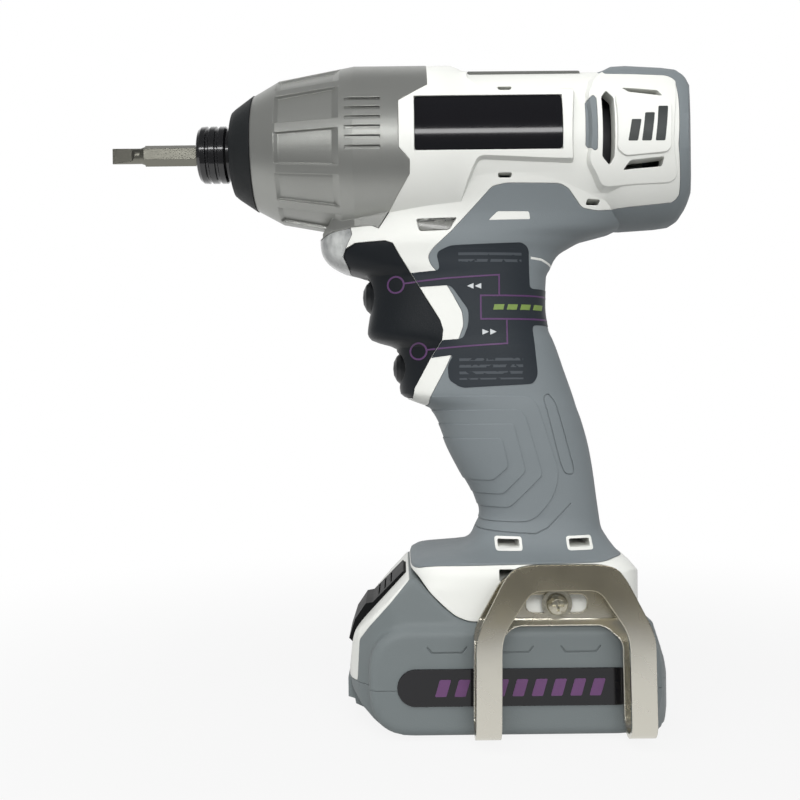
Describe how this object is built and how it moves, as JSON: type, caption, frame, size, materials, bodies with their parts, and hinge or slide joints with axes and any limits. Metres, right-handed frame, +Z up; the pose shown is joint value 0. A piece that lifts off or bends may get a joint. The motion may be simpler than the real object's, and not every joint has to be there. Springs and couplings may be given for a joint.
{
  "type": "cordless impact driver",
  "caption": "Pistol-grip cordless impact driver with hex collet and slotted bit, finger press pads, slide-on battery and belt hook.",
  "frame": {"origin": "centre of the battery's flat base", "axes": "+Z up, -X along the bit out of the nose, shells meet at Y = 0"},
  "size_m": [0.2018, 0.0806, 0.2235],
  "materials": {
    "white_shell": "warm white moulded shell, fine satin",
    "soft_grip": "blue-grey soft overmould, matt",
    "dark_rubber": "near-black rubber, matt",
    "casting": "painted die casting, warm grey satin",
    "lens": "frosted pale grey diffuser",
    "pad_black": "black moulded press pad",
    "bezel_black": "black moulded bezel",
    "label_gloss": "gloss black panel",
    "bronze": "sintered bronze bush",
    "brass": "knurled brass insert",
    "tool_steel": "hardened tool steel",
    "bit_steel": "grey bit steel",
    "spring_steel": "bright spring steel",
    "black_steel": "gloss black sleeve",
    "hook_steel": "brushed nickel plated strip",
    "screw_steel": "plated screw",
    "motor_steel": "zinc plated can",
    "magnet": "ferrite",
    "dark_plastic": "black engineering plastic",
    "board": "green circuit board",
    "cell_wrap": "shrink-wrapped cell",
    "copper": "copper windings and bars",
    "gear_steel": "sintered gear steel"
  },
  "bodies": {
    "housing": {"housing_left": "white_shell", "housing_right": "white_shell", "grip_left": "soft_grip", "grip_right": "soft_grip", "hammer_case": "casting", "nose_bumper": "dark_rubber", "lamp_lens": "lens", "lamp_led": "lens", "trigger_bezel": "bezel_black", "top_pad": "soft_grip", "label_panels": "label_gloss", "anvil_bush": "bronze", "thrust_washer": "tool_steel", "ring_gear": "gear_steel", "gear_plate": "dark_plastic", "spindle_bearing": "spring_steel", "motor_can": "motor_steel", "motor_magnets": "magnet", "motor_end_bell": "dark_plastic", "motor_brushes": "magnet", "switch_module": "dark_plastic", "control_board": "board", "terminal_block": "dark_plastic", "housing_screws": "screw_steel", "belt_hook": "hook_steel", "hook_screw": "screw_steel", "hook_inserts": "brass"},
    "output": {"anvil": "tool_steel", "screwdriver_bit": "bit_steel", "locking_balls": "spring_steel", "retaining_ring": "spring_steel"},
    "sleeve": {"collet_sleeve": "black_steel", "sleeve_spring": "spring_steel"},
    "carrier": {"spindle": "tool_steel", "planet_pins": "tool_steel", "cam_balls": "spring_steel"},
    "planet_1": {"planet_gear_1": "gear_steel"},
    "planet_2": {"planet_gear_2": "gear_steel"},
    "planet_3": {"planet_gear_3": "gear_steel"},
    "hammer_body": {"hammer": "tool_steel", "hammer_spring": "spring_steel"},
    "rotor": {"rotor_shaft": "tool_steel", "armature": "copper", "commutator": "copper", "motor_fan": "dark_plastic", "sun_pinion": "gear_steel"},
    "forward_pad": {"forward_button": "pad_black", "forward_spring": "spring_steel"},
    "reverse_pad": {"reverse_button": "pad_black", "reverse_spring": "spring_steel"},
    "battery": {"battery_upper": "soft_grip", "battery_lower": "soft_grip", "battery_bezel": "white_shell", "battery_labels": "label_gloss", "battery_cells": "cell_wrap", "battery_board": "board"},
    "latch": {"battery_latch": "pad_black", "latch_spring": "spring_steel"}
  },
  "joints": [
    {"name": "output_spin", "type": "hinge", "parent": "housing", "child": "output", "pos_m": [0, 0, 0.1945], "axis": [1, 0, 0], "continuous": true},
    {"name": "sleeve_slide", "type": "slide", "parent": "output", "child": "sleeve", "axis": [-1, 0, 0], "range_m": [0, 0.0022], "stiffness_N_per_m": 2000, "springref_m": -0.0015, "deforming": ["sleeve_spring"]},
    {"name": "carrier_spin", "type": "hinge", "parent": "housing", "child": "carrier", "pos_m": [0, 0, 0.1945], "axis": [1, 0, 0], "continuous": true},
    {"name": "planet_1_spin", "type": "hinge", "parent": "carrier", "child": "planet_1", "pos_m": [-0.0284, 0.0108, 0.1945], "axis": [1, 0, 0], "continuous": true},
    {"name": "planet_2_spin", "type": "hinge", "parent": "carrier", "child": "planet_2", "pos_m": [-0.0284, -0.0054, 0.20385], "axis": [1, 0, 0], "continuous": true},
    {"name": "planet_3_spin", "type": "hinge", "parent": "carrier", "child": "planet_3", "pos_m": [-0.0284, -0.0054, 0.18515], "axis": [1, 0, 0], "continuous": true},
    {"name": "hammer_retract", "type": "slide", "parent": "carrier", "child": "hammer_body", "axis": [1, 0, 0], "range_m": [0, 0.007], "stiffness_N_per_m": 9000, "springref_m": -0.004, "deforming": ["hammer_spring"]},
    {"name": "rotor_spin", "type": "hinge", "parent": "housing", "child": "rotor", "pos_m": [0, 0, 0.1945], "axis": [1, 0, 0], "continuous": true},
    {"name": "forward_press", "type": "slide", "parent": "housing", "child": "forward_pad", "axis": [1, 0, 0], "range_m": [0, 0.0025], "stiffness_N_per_m": 1500, "springref_m": -0.001, "deforming": ["forward_spring"]},
    {"name": "reverse_press", "type": "slide", "parent": "housing", "child": "reverse_pad", "axis": [1, 0, 0], "range_m": [0, 0.0025], "stiffness_N_per_m": 1500, "springref_m": -0.001, "deforming": ["reverse_spring"]},
    {"name": "battery_slide", "type": "slide", "parent": "housing", "child": "battery", "axis": [-1, 0, 0], "range_m": [0, 0.075]},
    {"name": "latch_press", "type": "slide", "parent": "battery", "child": "latch", "axis": [0.7071, 0, -0.7071], "range_m": [0, 0.002], "stiffness_N_per_m": 1500, "springref_m": -0.001, "deforming": ["latch_spring"]}
  ],
  "couplings": [
    {"joint": "carrier_spin", "follows": "output_spin", "ratio": 1},
    {"joint": "rotor_spin", "follows": "output_spin", "ratio": 6},
    {"joint": "planet_1_spin", "follows": "output_spin", "ratio": -2.5},
    {"joint": "planet_2_spin", "follows": "output_spin", "ratio": -2.5},
    {"joint": "planet_3_spin", "follows": "output_spin", "ratio": -2.5}
  ]
}
